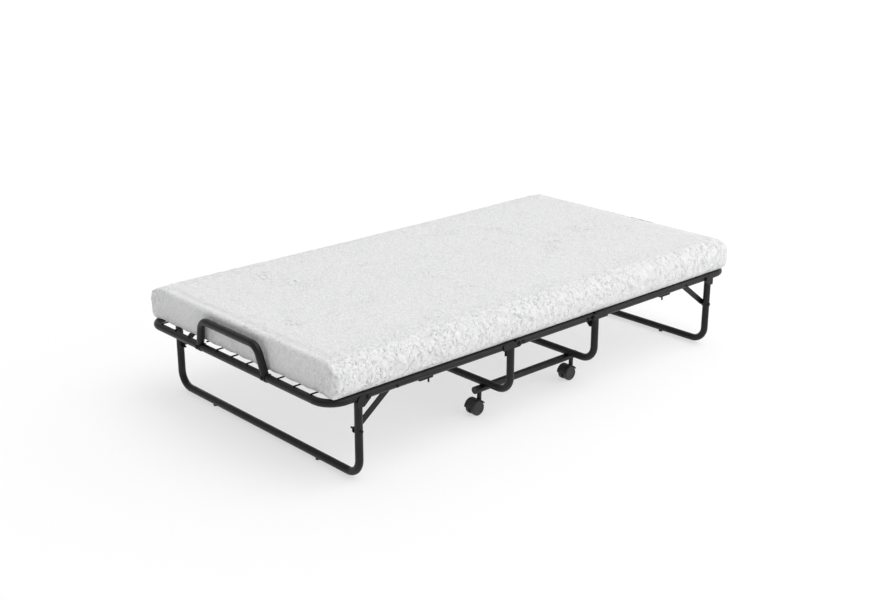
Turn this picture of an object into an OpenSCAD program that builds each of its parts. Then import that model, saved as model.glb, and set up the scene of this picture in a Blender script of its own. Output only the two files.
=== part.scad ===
// Folding rollaway bed: a tube frame in three sections that folds up at two hinges, with U-shaped
// legs that fold in under it, a wire deck, a one-piece foam mattress and four twin-wheel casters.
// Millimetres. +X runs along the bed towards its foot, +Y across it, +Z up.
// The origin is on the floor, under the middle of the bed.

/* [Frame] */
// Length over the two end tubes
frame_l = 1905; // [1850:5:1960]
// Width over the two side rails
frame_w = 981; // [900:1:1050]
// Height of the side rails' centre line above the floor
rail_z = 269; // [260:1:290]
// Outside diameter of every main tube
tube_d = 25; // [24:0.5:26]
// Wall thickness of the tubes
tube_wall = 1.5; // [1:0.1:2]
// Radius of the frame's corner bends, to the tube's centre line
corner_r = 65; // [50:1:90]

/* [Folding hinges] */
// Distance of each fold hinge from the middle of the bed
hinge_x = 180; // [170:1:190]
// Distance of each middle leg from the middle of the bed
middle_leg_x = 204; // [202:1:208]
// Diameter of the hinge and leg pivot bolts
pivot_d = 8; // [7:0.5:9]

/* [Legs] */
// Distance of each end leg from the middle of the bed
end_leg_x = 831; // [825:1:835]
// How far inboard of its leg the leg's pivot bolt is
leg_pivot_inset = 26.5; // [26:0.5:28]
// Radius of the leg bends, to the tube's centre line
leg_bend_r = 52; // [45:1:60]
// Height of the middle legs' bottom bars
middle_bar_z = 103; // [100:1:108]
// Height of the stud that each brace hooks over
stud_z = 162; // [158:1:168]
// Distance of the brace pivots from the middle of the bed
brace_pivot_x = 690; // [680:1:700]
// Width of the flat brace bars
brace_w = 20; // [16:1:20]

/* [Deck] */
// Number of long deck rods
deck_rods = 11; // [7:2:11]
// Spacing of the long deck rods
deck_pitch = 80; // [70:1:84]
// Diameter of the long deck rods
deck_rod_d = 5; // [4:0.5:6]

/* [Retainers] */
// Length of a retainer's top bar between its bends' corners
retainer_top_w = 296; // [240:2:300]
// Radius of a retainer's bends, to the tube's centre line
retainer_bend_r = 42; // [30:1:46]

/* [Casters] */
// Distance of each wheel bar from the bed's centre line
wheel_bar_y = 358; // [340:1:370]
// Height of the wheel bars' centre line
wheel_bar_z = 84; // [82:1:86]
// Length of a wheel bar
wheel_bar_l = 490; // [470:5:520]
// Distance of the caster stems from the middle of the bed
caster_x = 224; // [215:1:228]
// Diameter of the caster wheels
wheel_d = 50; // [46:1:52]
// How far each wheel trails behind its stem
caster_trail = 20; // [16:1:22]

/* [Mattress] */
// Length of the mattress
mattress_l = 1852; // [1800:2:1852]
// Width of the mattress
mattress_w = 980; // [900:2:990]
// Thickness of the mattress
mattress_t = 105; // [80:1:120]

/* [Hidden] */
$fn = 48;
// Gap kept between parts that move past each other
gap = 0.5;
// Radial running clearance of a pivot bolt
running_fit = 0.06;
rail_y = (frame_w - tube_d) / 2;
end_x = (frame_l - tube_d) / 2;
tube_r = tube_d / 2;
rail_top = rail_z + tube_r;
rail_bottom = rail_z - tube_r;
leg_top_z = rail_bottom - gap;

// Plates beside the rails: their inner face stands this far off the rail's centre line
plate_t = 3;
plate_off = tube_r + gap;
pivot_r = pivot_d / 2;
plate_eye_r = 10;

// Fold hinge: the centre rail stops short of the pivot's far side, and the folding rail
// starts far enough out to swing past its end
centre_rail_end = hinge_x + 8;
fold_rail_end = hinge_x + 15.5;
strap_l = 70;
lock_bolt_x = hinge_x - 25;

// End leg: the pivot sits a little below the rail's centre line
leg_pivot_x = end_leg_x - leg_pivot_inset;
leg_pivot_z = rail_z - 3;
glide_h = 4;
leg_bar_z = glide_h + tube_r;
glide_y = 278;
glide_r = 8;
stud_r = 4;
ear_low_z = leg_top_z - 30;
end_ear_low_z = leg_top_z - 16;

// Brace: a flat bar from its pivot on the rail to the stud on the leg
brace_pivot_z = rail_z - 2;
brace_t = 4;
brace_dx = end_leg_x - brace_pivot_x;
brace_dz = brace_pivot_z - stud_z;
brace_l = norm([brace_dx, brace_dz]);
brace_angle = atan2(brace_dz, brace_dx);
brace_bolt_r = 3;
brace_tip = 12;
// Direction in which the stud leaves the notch, from the brace's own axis
notch_angle = 58.8;
notch_w = 2 * stud_r + 1.6;
// How much wider the notch's round seat is than its mouth
notch_ease = 0.6;

// Deck
deck_z = rail_top + deck_rod_d / 2;
cross_rod_d = 4;
cross_rod_z = rail_top - cross_rod_d / 2;
cross_tube_d = 19;
cross_tube_z = rail_top - cross_tube_d / 2;
fold_cross_x = hinge_x + 52;
mid_cross_x = 600;
centre_cross_x = 126;
cross_rod_xs = [350, 480, 740, 860];

// Retainer: each leg spreads by 7 in 24 and the loop tilts off the mattress, both by angles whose
// sine and cosine are short decimals
retainer_lean = [0.28, 0.96];
retainer_tilt = atan2(0.07584, 0.99712);
retainer_leg_l = 100;
retainer_h = retainer_leg_l * retainer_lean[1];
// Straight length that each bend takes from the top bar and from the leg
retainer_setback = retainer_bend_r * (1 - retainer_lean[0]) / retainer_lean[1];
// Turn of a leg's direction, down and outwards, from the Y axis
retainer_turn = -atan2(retainer_lean[1], retainer_lean[0]);
retainer_foot_y = retainer_top_w / 2 + retainer_leg_l * retainer_lean[0];

// Retainer clamp bands round the end tube
clamp_w = 24;
clamp_t = 2;

// Leg catch under each side rail
catch_x = 572;
catch_l = 54;
catch_t = 3;
peg_x = 560;
peg_y = rail_y + 3;
peg_r = 3;
peg_l = 16;

// Casters
wheel_r = wheel_d / 2;
wheel_w = 14;
wheel_off = 13;
socket_r = 6;
stem_r = 4;
stem_low_z = 54;
socket_low_z = wheel_bar_z - tube_r;
socket_top_z = wheel_bar_z + 8;
axle_r = 3;
hood_in_r = wheel_r + 1.5;
hood_out_r = hood_in_r + 2.5;
hood_half_w = 21;
fork_half_w = 5;
neck_r = 7.5;
neck_top_z = 67;

// Mattress: rigid end sections, a rigid middle and two stretches that bend at the hinges
mattress_z = rail_top + deck_rod_d + 0.5;
mattress_end_x = 300;
mattress_middle_x = 50;

paint = "#1d1d1f";
plastic = "#141415";
cloth = "#e8e8e8";

// ---- Bent tubes ----

// Unit vector from point a to point b
function heading(a, b) = (b - a) / norm(b - a);
// A plane vector turned a quarter turn to the left
function left_of(v) = [-v[1], v[0]];
// Angle turned at point i of a path, positive to the left
function turn_at(path, i) =
    let (u = heading(path[i - 1], path[i]), v = heading(path[i], path[i + 1]))
    atan2(u[0] * v[1] - u[1] * v[0], u * v);
// Straight length that the bend at point i takes from each side
function setback(path, i, bend_r) =
    i == 0 || i == len(path) - 1 ? 0 : bend_r * tan(abs(turn_at(path, i)) / 2);

// A round bar along a plane path, with the same bend radius at every inner point
module bent_bar(path, bend_r, d) {
    last = len(path) - 1;
    for (i = [0 : last - 1]) {
        u = heading(path[i], path[i + 1]);
        start = path[i] + u * setback(path, i, bend_r);
        run = norm(path[i + 1] - path[i]) - setback(path, i, bend_r) - setback(path, i + 1, bend_r);
        translate([start[0], start[1], 0])
            rotate([0, 0, atan2(u[1], u[0])])
                rotate([0, 90, 0])
                    cylinder(h = run, d = d);
    }
    for (i = [1 : last - 1]) {
        u = heading(path[i - 1], path[i]);
        turn = turn_at(path, i);
        inward = left_of(u) * sign(turn);
        centre = path[i] - u * setback(path, i, bend_r) + inward * bend_r;
        first = atan2(-inward[1], -inward[0]);
        translate([centre[0], centre[1], 0])
            rotate([0, 0, min(first, first + turn)])
                rotate_extrude(angle = abs(turn))
                    translate([bend_r, 0])
                        circle(d = d);
    }
}

// The same path with both ends drawn out by a length
function drawn_out(path, by) =
    let (last = len(path) - 1)
    [for (i = [0 : last])
        i == 0 ? path[0] + heading(path[1], path[0]) * by
        : i == last ? path[last] + heading(path[last - 1], path[last]) * by
        : path[i]];

// A hollow tube along a plane path
module bent_tube(path, bend_r, d) {
    difference() {
        bent_bar(path, bend_r, d);
        bent_bar(drawn_out(path, 1), bend_r, d - 2 * tube_wall);
    }
}

// Stands a plane drawing up across the bed: its x becomes Y and its y becomes Z
module across() {
    rotate([90, 0, 90]) children();
}

// A cylinder along Y, from y0 to y1
module bar_y(x, z, y0, y1, d) {
    translate([x, y0, z])
        rotate([-90, 0, 0])
            cylinder(h = y1 - y0, d = d);
}

// A cylinder along X, from x0 to x1
module bar_x(y, z, x0, x1, d) {
    translate([x0, y, z])
        rotate([0, 90, 0])
            cylinder(h = x1 - x0, d = d);
}

// The same thing on the near side and, mirrored, on the far side
module both_sides() {
    children();
    mirror([0, 1, 0]) children();
}

// The same thing at the head and, mirrored, at the foot
module both_ends() {
    children();
    mirror([1, 0, 0]) children();
}

// A plate of an outline drawn in X and Z, between y0 and y0 + t
module plate_xz(y0, t = plate_t) {
    translate([0, y0 + t, 0])
        rotate([90, 0, 0])
            linear_extrude(t)
                children();
}

// ---- Fasteners, on the near side (negative Y), with the head facing out ----

// A low round head with a softened rim, its flat side at y and facing inwards
module head_y(x, z, y, d, h) {
    bar_y(x, z, y - h / 2, y, d);
    translate([x, y - h, z])
        rotate([-90, 0, 0])
            cylinder(h = h / 2, d1 = 0.7 * d, d2 = d);
}

// A bolt along Y whose head bears at y_head and whose end is at y_end
module bolt_y(x, z, y_head, y_end, r, head_d, head_h) {
    head_y(x, z, y_head, head_d, head_h);
    bar_y(x, z, y_head, y_end, 2 * r);
}

// A hexagon nut along Y, between y0 and y1, on a bolt of radius r
module nut_y(x, z, y0, y1, r, flats) {
    difference() {
        translate([x, y0, z])
            rotate([-90, 0, 0])
                cylinder(h = y1 - y0, d = flats / cos(30), $fn = 6);
        bar_y(x, z, y0 - 1, y1 + 1, 2 * r);
    }
}

// ---- Centre section ----

module centre_rails() {
    color(paint) both_sides()
        difference() {
            bar_x(-rail_y, rail_z, -centre_rail_end, centre_rail_end, tube_d);
            bar_x(-rail_y, rail_z, -centre_rail_end - 1, centre_rail_end + 1, tube_d - 2 * tube_wall);
            both_ends() {
                bar_y(-hinge_x, rail_z, -rail_y - tube_d, -rail_y + tube_d, pivot_d);
                bar_y(-lock_bolt_x, rail_z, -rail_y - tube_d, -rail_y + tube_d, pivot_d);
            }
        }
}

// U-shaped leg of the centre section: its open ends stop just under the folding rails
module middle_leg() {
    translate([-middle_leg_x, 0, 0])
        across()
            bent_tube([
                [-rail_y, leg_top_z], [-rail_y, middle_bar_z], [rail_y, middle_bar_z],
                [rail_y, leg_top_z]
            ], leg_bend_r, tube_d);
}

module middle_leg_head() {
    color(paint) middle_leg();
}

module middle_leg_foot() {
    color(paint) mirror([1, 0, 0]) middle_leg();
}

// Outline of the plate that ties a middle leg to the centre rail
module middle_ear_outline() {
    difference() {
        polygon([
            [-middle_leg_x - 11, ear_low_z], [-middle_leg_x + 11, ear_low_z],
            [-hinge_x + 10, rail_z - 14], [-lock_bolt_x + 12, rail_z - 10],
            [-lock_bolt_x + 12, rail_z + 10], [-middle_leg_x - 3, rail_z + 10],
            [-middle_leg_x - 11, rail_z]
        ]);
        translate([-hinge_x, rail_z]) circle(r = pivot_r);
        translate([-lock_bolt_x, rail_z]) circle(r = pivot_r);
    }
}

// Ears on the inner side of the rails, each with a pad welded to its leg
module middle_leg_ears() {
    color(paint) both_ends() both_sides() {
        plate_xz(-rail_y + plate_off) middle_ear_outline();
        difference() {
            translate([-middle_leg_x - 8, -rail_y + 6, ear_low_z])
                cube([16, plate_off - 6, leg_top_z - 2 - ear_low_z]);
            translate([-middle_leg_x, -rail_y, 0])
                cylinder(h = rail_z, d = tube_d);
        }
    }
}

// Hinge bolts and, further in, the bolts that lock the ears to the centre rails
module centre_bolts() {
    color(paint) both_ends() both_sides() {
        bolt_y(-hinge_x, rail_z, -rail_y - plate_off - plate_t - 0.3,
               -rail_y + plate_off + plate_t + 9, pivot_r, 15, 4);
        bolt_y(-lock_bolt_x, rail_z, -rail_y - tube_r,
               -rail_y + plate_off + plate_t + 9, pivot_r, 14, 3);
    }
}

module centre_nuts() {
    color(paint) both_ends() both_sides()
        for (x = [-hinge_x, -lock_bolt_x])
            nut_y(x, rail_z, -rail_y + plate_off + plate_t, -rail_y + plate_off + plate_t + 6,
                  pivot_r, 13);
}

// A cross tube between the side rails, its ends shaped to the rails
module cross_tube(x) {
    difference() {
        bar_y(x, cross_tube_z, -rail_y, rail_y, cross_tube_d);
        bar_y(x, cross_tube_z, -rail_y - 1, rail_y + 1, cross_tube_d - 2 * tube_wall);
        both_sides() bar_x(-rail_y, rail_z, x - tube_d, x + tube_d, tube_d);
    }
}

module centre_cross_tubes() {
    color(paint) both_ends() cross_tube(-centre_cross_x);
}

// Long deck rods from x0 to x1, evenly spaced across the bed
module deck_rod_row(x0, x1) {
    for (i = [0 : deck_rods - 1])
        bar_x((i - (deck_rods - 1) / 2) * deck_pitch, deck_z, x0, x1, deck_rod_d);
}

module centre_deck_rods() {
    color(paint) deck_rod_row(-centre_cross_x - 5, centre_cross_x + 5);
}

// A wheel bar, saddled to the bottom bars of the middle legs
module wheel_bar() {
    difference() {
        bar_x(-wheel_bar_y, wheel_bar_z, -wheel_bar_l / 2, wheel_bar_l / 2, tube_d);
        bar_x(-wheel_bar_y, wheel_bar_z, -wheel_bar_l / 2 - 1, wheel_bar_l / 2 + 1,
              tube_d - 2 * tube_wall);
        both_ends() {
            bar_y(-middle_leg_x, middle_bar_z, -rail_y, 0, tube_d);
            translate([-caster_x, -wheel_bar_y, socket_low_z - 1])
                cylinder(h = tube_r, r = socket_r);
        }
    }
}

module wheel_bar_near() {
    color(paint) wheel_bar();
}

module wheel_bar_far() {
    color(paint) mirror([0, 1, 0]) wheel_bar();
}

// Plastic caps pushed into the ends of the wheel bars
module wheel_bar_caps() {
    color(plastic) both_ends() both_sides() {
        bar_x(-wheel_bar_y, wheel_bar_z, -wheel_bar_l / 2 - 2, -wheel_bar_l / 2, tube_d);
        bar_x(-wheel_bar_y, wheel_bar_z, -wheel_bar_l / 2, -wheel_bar_l / 2 + 8,
              tube_d - 2 * tube_wall);
    }
}

// Bushes in the wheel bars, in which the caster stems turn
module caster_sockets() {
    color(plastic) both_ends() both_sides()
        translate([-caster_x, -wheel_bar_y, 0])
            difference() {
                union() {
                    translate([0, 0, socket_low_z])
                        cylinder(h = socket_top_z - socket_low_z, r = socket_r);
                    translate([0, 0, socket_low_z - 2])
                        cylinder(h = 2, r = socket_r + 2);
                }
                translate([0, 0, socket_low_z - 3])
                    cylinder(h = socket_top_z - socket_low_z - 1, r = stem_r + running_fit);
            }
}

// A block of the mattress between x0 and x1
module mattress_block(x0, x1) {
    translate([x0, -mattress_w / 2, mattress_z])
        cube([x1 - x0, mattress_w, mattress_t]);
}

module mattress_middle() {
    color(cloth) mattress_block(-mattress_middle_x, mattress_middle_x);
}

module mattress_bend_head() {
    color(cloth) mattress_block(-mattress_end_x, -mattress_middle_x);
}

module mattress_bend_foot() {
    color(cloth) mattress_block(mattress_middle_x, mattress_end_x);
}

// ---- Folding section, drawn at the head ----

// Side rails and end tube in one U-shaped bend, drilled for its bolts
module fold_frame() {
    difference() {
        translate([0, 0, rail_z])
            bent_tube([
                [-fold_rail_end, -rail_y], [-end_x, -rail_y], [-end_x, rail_y],
                [-fold_rail_end, rail_y]
            ], corner_r, tube_d);
        both_sides() {
            bar_y(-leg_pivot_x, leg_pivot_z, -rail_y - tube_d, -rail_y + tube_d, pivot_d);
            bar_y(-brace_pivot_x, brace_pivot_z, -rail_y - tube_d, -rail_y + tube_d,
                  2 * brace_bolt_r);
            bar_x(-retainer_foot_y, rail_z, -end_x - tube_d, -end_x + tube_d, 2 * brace_bolt_r);
        }
    }
}

// Hinge straps on the outer side of the rails, each with a pad welded to its rail
module fold_straps() {
    both_sides() {
        plate_xz(-rail_y - plate_off - plate_t)
            difference() {
                union() {
                    translate([-hinge_x - strap_l, rail_z - plate_eye_r])
                        square([strap_l, 2 * plate_eye_r]);
                    translate([-hinge_x, rail_z])
                        circle(r = plate_eye_r);
                }
                translate([-hinge_x, rail_z])
                    circle(r = pivot_r + running_fit);
            }
        difference() {
            translate([-hinge_x - strap_l, -rail_y - plate_off, rail_z - 7])
                cube([strap_l - 22, plate_off - 6, 14]);
            bar_x(-rail_y, rail_z, -hinge_x - strap_l - 1, -hinge_x, tube_d);
        }
    }
}

module fold_cross_tubes() {
    cross_tube(-fold_cross_x);
    cross_tube(-mid_cross_x);
}

// The rods beside the retainer's feet end short of them
module fold_deck_rods() {
    difference() {
        deck_rod_row(-end_x - 4, -fold_cross_x + 5);
        both_sides()
            translate([-end_x - tube_d, -retainer_foot_y - 20, rail_top - 1])
                cube([tube_d + tube_r + 1.5, 50, deck_rod_d + 2]);
    }
}

// Thin rods under the long ones, their ends on the side rails
module fold_deck_cross_rods() {
    for (x = cross_rod_xs)
        difference() {
            bar_y(-x, cross_rod_z, -rail_y, rail_y, cross_rod_d);
            both_sides() bar_x(-rail_y, rail_z, -x - cross_rod_d, -x + cross_rod_d, tube_d);
        }
}

// A solid bar along the retainer, its feet drawn out by a length
module retainer_bar(d, extra) {
    bend_y = retainer_top_w / 2 - retainer_setback;
    translate([-end_x, 0, rail_z])
        rotate([0, -retainer_tilt, 0]) {
            bar_y(0, retainer_h, -bend_y, bend_y, d);
            both_sides()
                translate([0, bend_y, retainer_h - retainer_bend_r])
                    across() {
                        retainer_bend(d);
                        rotate(retainer_turn)
                            translate([0, retainer_bend_r, 0])
                                rotate([0, 90, 0])
                                    cylinder(h = retainer_leg_l - retainer_setback + extra, d = d);
                    }
        }
}

// A quarter ring, cut off square to the leg that follows it
module retainer_bend(d) {
    difference() {
        rotate_extrude(angle = 90)
            translate([retainer_bend_r, 0])
                circle(d = d);
        rotate(retainer_turn)
            translate([0, -2 * retainer_bend_r, -d])
                cube([2 * retainer_bend_r, 4 * retainer_bend_r, 2 * d]);
    }
}

// Loop of tube that stops the mattress sliding off the end, its feet on the end tube
module fold_retainer() {
    difference() {
        retainer_bar(tube_d, 0);
        retainer_bar(tube_d - 2 * tube_wall, 1);
        bar_y(-end_x, rail_z, -retainer_foot_y - tube_d, retainer_foot_y + tube_d,
              tube_d + 2 * clamp_t);
    }
}

// A clamp band's outer shape, filled in
module clamp_core() {
    bar_y(-end_x, rail_z, -retainer_foot_y - clamp_w / 2, -retainer_foot_y + clamp_w / 2,
          tube_d + 2 * clamp_t);
}

// Bands round the end tube that carry the retainer's feet
module fold_retainer_clamps() {
    both_sides()
        difference() {
            clamp_core();
            bar_y(-end_x, rail_z, -2 * retainer_foot_y, 0, tube_d);
            bar_x(-retainer_foot_y, rail_z, -end_x - tube_d, -end_x + tube_d, 2 * brace_bolt_r);
        }
}

// Leg pivot bolts, brace pivot bolts and the bolts of the retainer's clamps
module fold_bolts() {
    both_sides() {
        bolt_y(-leg_pivot_x, leg_pivot_z, -rail_y - plate_off - plate_t - 0.3, -rail_y + tube_r + 9,
               pivot_r, 15, 4);
        bolt_y(-brace_pivot_x, brace_pivot_z, -rail_y - tube_r,
               -rail_y + plate_off + brace_t + 7, brace_bolt_r, 11, 3);
        translate([-end_x, -retainer_foot_y, 0])
            rotate([0, 0, -90])
                bolt_y(0, rail_z, -tube_r - clamp_t, tube_r + clamp_t + 6, brace_bolt_r, 12, 3.5);
    }
}

module fold_nuts() {
    both_sides() {
        nut_y(-leg_pivot_x, leg_pivot_z, -rail_y + tube_r, -rail_y + tube_r + 6, pivot_r, 13);
        nut_y(-brace_pivot_x, brace_pivot_z, -rail_y + plate_off + brace_t + 0.3,
              -rail_y + plate_off + brace_t + 5.3, brace_bolt_r, 10);
        translate([-end_x, -retainer_foot_y, 0])
            rotate([0, 0, -90])
                nut_y(0, rail_z, tube_r + clamp_t, tube_r + clamp_t + 5, brace_bolt_r, 10);
    }
}

// Catches under the rails: a saddle plate with a peg that the folded leg snaps behind
module fold_leg_catches() {
    both_sides() {
        difference() {
            translate([-catch_x - catch_l / 2, -rail_y - 8, rail_bottom - catch_t])
                cube([catch_l, 16, catch_t + 2]);
            bar_x(-rail_y, rail_z, -catch_x - catch_l, -catch_x + catch_l, tube_d);
        }
        translate([-peg_x, -peg_y, rail_bottom - peg_l])
            cylinder(h = peg_l - catch_t, r = peg_r);
    }
}

// ---- End leg, drawn at the head ----

module end_leg_tube() {
    difference() {
        translate([-end_leg_x, 0, 0])
            across()
                bent_tube([
                    [-rail_y, leg_top_z], [-rail_y, leg_bar_z], [rail_y, leg_bar_z],
                    [rail_y, leg_top_z]
                ], leg_bend_r, tube_d);
        both_sides() bar_y(-end_leg_x, stud_z, -rail_y - tube_d, -rail_y + tube_d, 2 * stud_r);
    }
}

// Outline of the plate that hangs the leg on its pivot bolt
module end_ear_outline() {
    difference() {
        union() {
            polygon([
                [-end_leg_x - 11, end_ear_low_z], [-end_leg_x + 11, end_ear_low_z],
                [-leg_pivot_x + 8, leg_pivot_z - 6], [-leg_pivot_x, leg_pivot_z + plate_eye_r],
                [-end_leg_x - 4, leg_pivot_z + plate_eye_r], [-end_leg_x - 11, leg_pivot_z + 3]
            ]);
            translate([-leg_pivot_x, leg_pivot_z]) circle(r = plate_eye_r);
        }
        translate([-leg_pivot_x, leg_pivot_z]) circle(r = pivot_r + running_fit);
    }
}

// Ears on the outer side of the rails, each with a pad welded to its leg
module end_leg_ears() {
    both_sides() {
        plate_xz(-rail_y - plate_off - plate_t) end_ear_outline();
        difference() {
            translate([-end_leg_x - 8, -rail_y - plate_off, end_ear_low_z])
                cube([16, plate_off - 6, leg_top_z - 2 - end_ear_low_z]);
            translate([-end_leg_x, -rail_y, 0])
                cylinder(h = rail_z, d = tube_d);
        }
    }
}

// Plastic glides under the floor bar
module end_leg_glides() {
    both_sides()
        difference() {
            translate([-end_leg_x, -glide_y, 0])
                cylinder(h = glide_h + 5, r = glide_r);
            bar_y(-end_leg_x, leg_bar_z, -rail_y, 0, tube_d);
        }
}

// Shouldered studs through the legs: the braces hook over them
module end_leg_studs() {
    both_sides() {
        bolt_y(-end_leg_x, stud_z, -rail_y - tube_r, -rail_y + tube_r + 5, stud_r, 13, 3);
        bar_y(-end_leg_x, stud_z, -rail_y + tube_r + 5, -rail_y + tube_r + 10, 14);
        bar_y(-end_leg_x, stud_z, -rail_y + tube_r + 10, -rail_y + tube_r + 22, 6);
    }
}

// Flat bars from the rail to the leg, with a slanted notch that drops over the stud
module brace_bars() {
    both_sides()
        plate_xz(-rail_y + plate_off, brace_t)
            translate([-brace_pivot_x, brace_pivot_z])
                rotate(180 + brace_angle)
                    difference() {
                        union() {
                            translate([0, -brace_w / 2])
                                square([brace_l + brace_tip - brace_w / 2, brace_w]);
                            circle(d = brace_w);
                            translate([brace_l + brace_tip - brace_w / 2, 0])
                                circle(d = brace_w);
                        }
                        circle(r = brace_bolt_r + running_fit);
                        translate([brace_l, 0]) {
                            circle(d = notch_w + notch_ease);
                            rotate(180 - notch_angle)
                                translate([0, -notch_w / 2])
                                    square([2 * brace_w, notch_w]);
                        }
                    }
}

// ---- Casters, drawn at the head on the near side ----

module at_caster(end, side) {
    translate([end * caster_x, side * wheel_bar_y, 0]) children();
}

// Stem, neck, hood and the web between the wheels, with the axle's hole
module caster_fork() {
    translate([0, 0, stem_low_z])
        cylinder(h = socket_top_z - 6 - stem_low_z, r = stem_r);
    difference() {
        union() {
            translate([0, 0, stem_low_z - 12])
                cylinder(h = neck_top_z + 12 - stem_low_z, r = neck_r);
            translate([-caster_trail, hood_half_w, wheel_r])
                rotate([90, 0, 0])
                    linear_extrude(2 * hood_half_w)
                        hood_outline();
            translate([-caster_trail, fork_half_w, wheel_r])
                rotate([90, 0, 0])
                    linear_extrude(2 * fork_half_w)
                        fork_outline();
        }
        bar_y(-caster_trail, wheel_r, -hood_half_w, hood_half_w, 2 * (axle_r + running_fit));
        for (side = [-1, 1])
            bar_y(-caster_trail, wheel_r,
                  min(side * fork_half_w, side * (hood_half_w + 1)),
                  max(side * fork_half_w, side * (hood_half_w + 1)), 2 * hood_in_r);
    }
}

// The hood arches over the wheels: a ring cut off at a slanting line
module hood_outline() {
    intersection() {
        difference() {
            circle(r = hood_out_r);
            circle(r = hood_in_r);
        }
        rotate(10)
            translate([-2 * hood_out_r, 8])
                square([4 * hood_out_r, 2 * hood_out_r]);
    }
}

// The web round the axle, reaching up to the hood
module fork_outline() {
    circle(r = 11);
    intersection() {
        circle(r = hood_out_r - 1);
        translate([-14, 0])
            square([28 + caster_trail / 2, hood_out_r]);
    }
}

// Two wheels on one axle
module caster_wheels() {
    translate([-caster_trail, 0, wheel_r])
        rotate([-90, 0, 0]) {
            cylinder(h = 2 * (wheel_off - wheel_w / 2), r = axle_r, center = true);
            for (side = [-1, 1])
                scale([1, 1, side])
                    translate([0, 0, wheel_off - wheel_w / 2])
                        rotate_extrude()
                            wheel_profile();
        }
}

// Half section of a wheel: a rounded tread and a dished outer face
module wheel_profile() {
    polygon([
        [0, 0], [wheel_r - 1, 0], [wheel_r, 1.2], [wheel_r, wheel_w - 3],
        [wheel_r - 1, wheel_w - 1.2], [wheel_r - 3, wheel_w], [wheel_r - 6, wheel_w],
        [wheel_r - 8, wheel_w - 1.5], [0, wheel_w - 1.5]
    ]);
}

// ---- Nodes of the head section ----

module head_frame() { color(paint) fold_frame(); }
module head_hinge_straps() { color(paint) fold_straps(); }
module head_cross_tubes() { color(paint) fold_cross_tubes(); }
module head_deck_rods() { color(paint) fold_deck_rods(); }
module head_deck_cross_rods() { color(paint) fold_deck_cross_rods(); }
module head_retainer() { color(paint) fold_retainer(); }
module head_retainer_clamps() { color(paint) fold_retainer_clamps(); }
module head_bolts() { color(paint) fold_bolts(); }
module head_nuts() { color(paint) fold_nuts(); }
module head_leg_catches() { color(paint) fold_leg_catches(); }
module mattress_head() { color(cloth) mattress_block(-mattress_l / 2, -mattress_end_x); }
module head_leg_tube() { color(paint) end_leg_tube(); }
module head_leg_ears() { color(paint) end_leg_ears(); }
module head_leg_glides() { color(plastic) end_leg_glides(); }
module head_leg_studs() { color(paint) end_leg_studs(); }
module head_brace_bars() { color(paint) brace_bars(); }

// ---- Nodes of the foot section, the head's mirror image ----

module foot_frame() { color(paint) mirror([1, 0, 0]) fold_frame(); }
module foot_hinge_straps() { color(paint) mirror([1, 0, 0]) fold_straps(); }
module foot_cross_tubes() { color(paint) mirror([1, 0, 0]) fold_cross_tubes(); }
module foot_deck_rods() { color(paint) mirror([1, 0, 0]) fold_deck_rods(); }
module foot_deck_cross_rods() { color(paint) mirror([1, 0, 0]) fold_deck_cross_rods(); }
module foot_retainer() { color(paint) mirror([1, 0, 0]) fold_retainer(); }
module foot_retainer_clamps() { color(paint) mirror([1, 0, 0]) fold_retainer_clamps(); }
module foot_bolts() { color(paint) mirror([1, 0, 0]) fold_bolts(); }
module foot_nuts() { color(paint) mirror([1, 0, 0]) fold_nuts(); }
module foot_leg_catches() { color(paint) mirror([1, 0, 0]) fold_leg_catches(); }
module mattress_foot() { color(cloth) mattress_block(mattress_end_x, mattress_l / 2); }
module foot_leg_tube() { color(paint) mirror([1, 0, 0]) end_leg_tube(); }
module foot_leg_ears() { color(paint) mirror([1, 0, 0]) end_leg_ears(); }
module foot_leg_glides() { color(plastic) mirror([1, 0, 0]) end_leg_glides(); }
module foot_leg_studs() { color(paint) mirror([1, 0, 0]) end_leg_studs(); }
module foot_brace_bars() { color(paint) mirror([1, 0, 0]) brace_bars(); }

// ---- Nodes of the casters ----

module caster_fork_head_near() { color(plastic) at_caster(-1, -1) caster_fork(); }
module caster_wheels_head_near() { color(plastic) at_caster(-1, -1) caster_wheels(); }
module caster_fork_head_far() { color(plastic) at_caster(-1, 1) caster_fork(); }
module caster_wheels_head_far() { color(plastic) at_caster(-1, 1) caster_wheels(); }
module caster_fork_foot_near() { color(plastic) at_caster(1, -1) caster_fork(); }
module caster_wheels_foot_near() { color(plastic) at_caster(1, -1) caster_wheels(); }
module caster_fork_foot_far() { color(plastic) at_caster(1, 1) caster_fork(); }
module caster_wheels_foot_far() { color(plastic) at_caster(1, 1) caster_wheels(); }

centre_rails();
middle_leg_head();
middle_leg_foot();
middle_leg_ears();
centre_bolts();
centre_nuts();
centre_cross_tubes();
centre_deck_rods();
wheel_bar_near();
wheel_bar_far();
wheel_bar_caps();
caster_sockets();
mattress_middle();
mattress_bend_head();
mattress_bend_foot();
head_frame();
head_hinge_straps();
head_cross_tubes();
head_deck_rods();
head_deck_cross_rods();
head_retainer();
head_retainer_clamps();
head_bolts();
head_nuts();
head_leg_catches();
mattress_head();
head_leg_tube();
head_leg_ears();
head_leg_glides();
head_leg_studs();
head_brace_bars();
foot_frame();
foot_hinge_straps();
foot_cross_tubes();
foot_deck_rods();
foot_deck_cross_rods();
foot_retainer();
foot_retainer_clamps();
foot_bolts();
foot_nuts();
foot_leg_catches();
mattress_foot();
foot_leg_tube();
foot_leg_ears();
foot_leg_glides();
foot_leg_studs();
foot_brace_bars();
caster_fork_head_near();
caster_wheels_head_near();
caster_fork_head_far();
caster_wheels_head_far();
caster_fork_foot_near();
caster_wheels_foot_near();
caster_fork_foot_far();
caster_wheels_foot_far();
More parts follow.
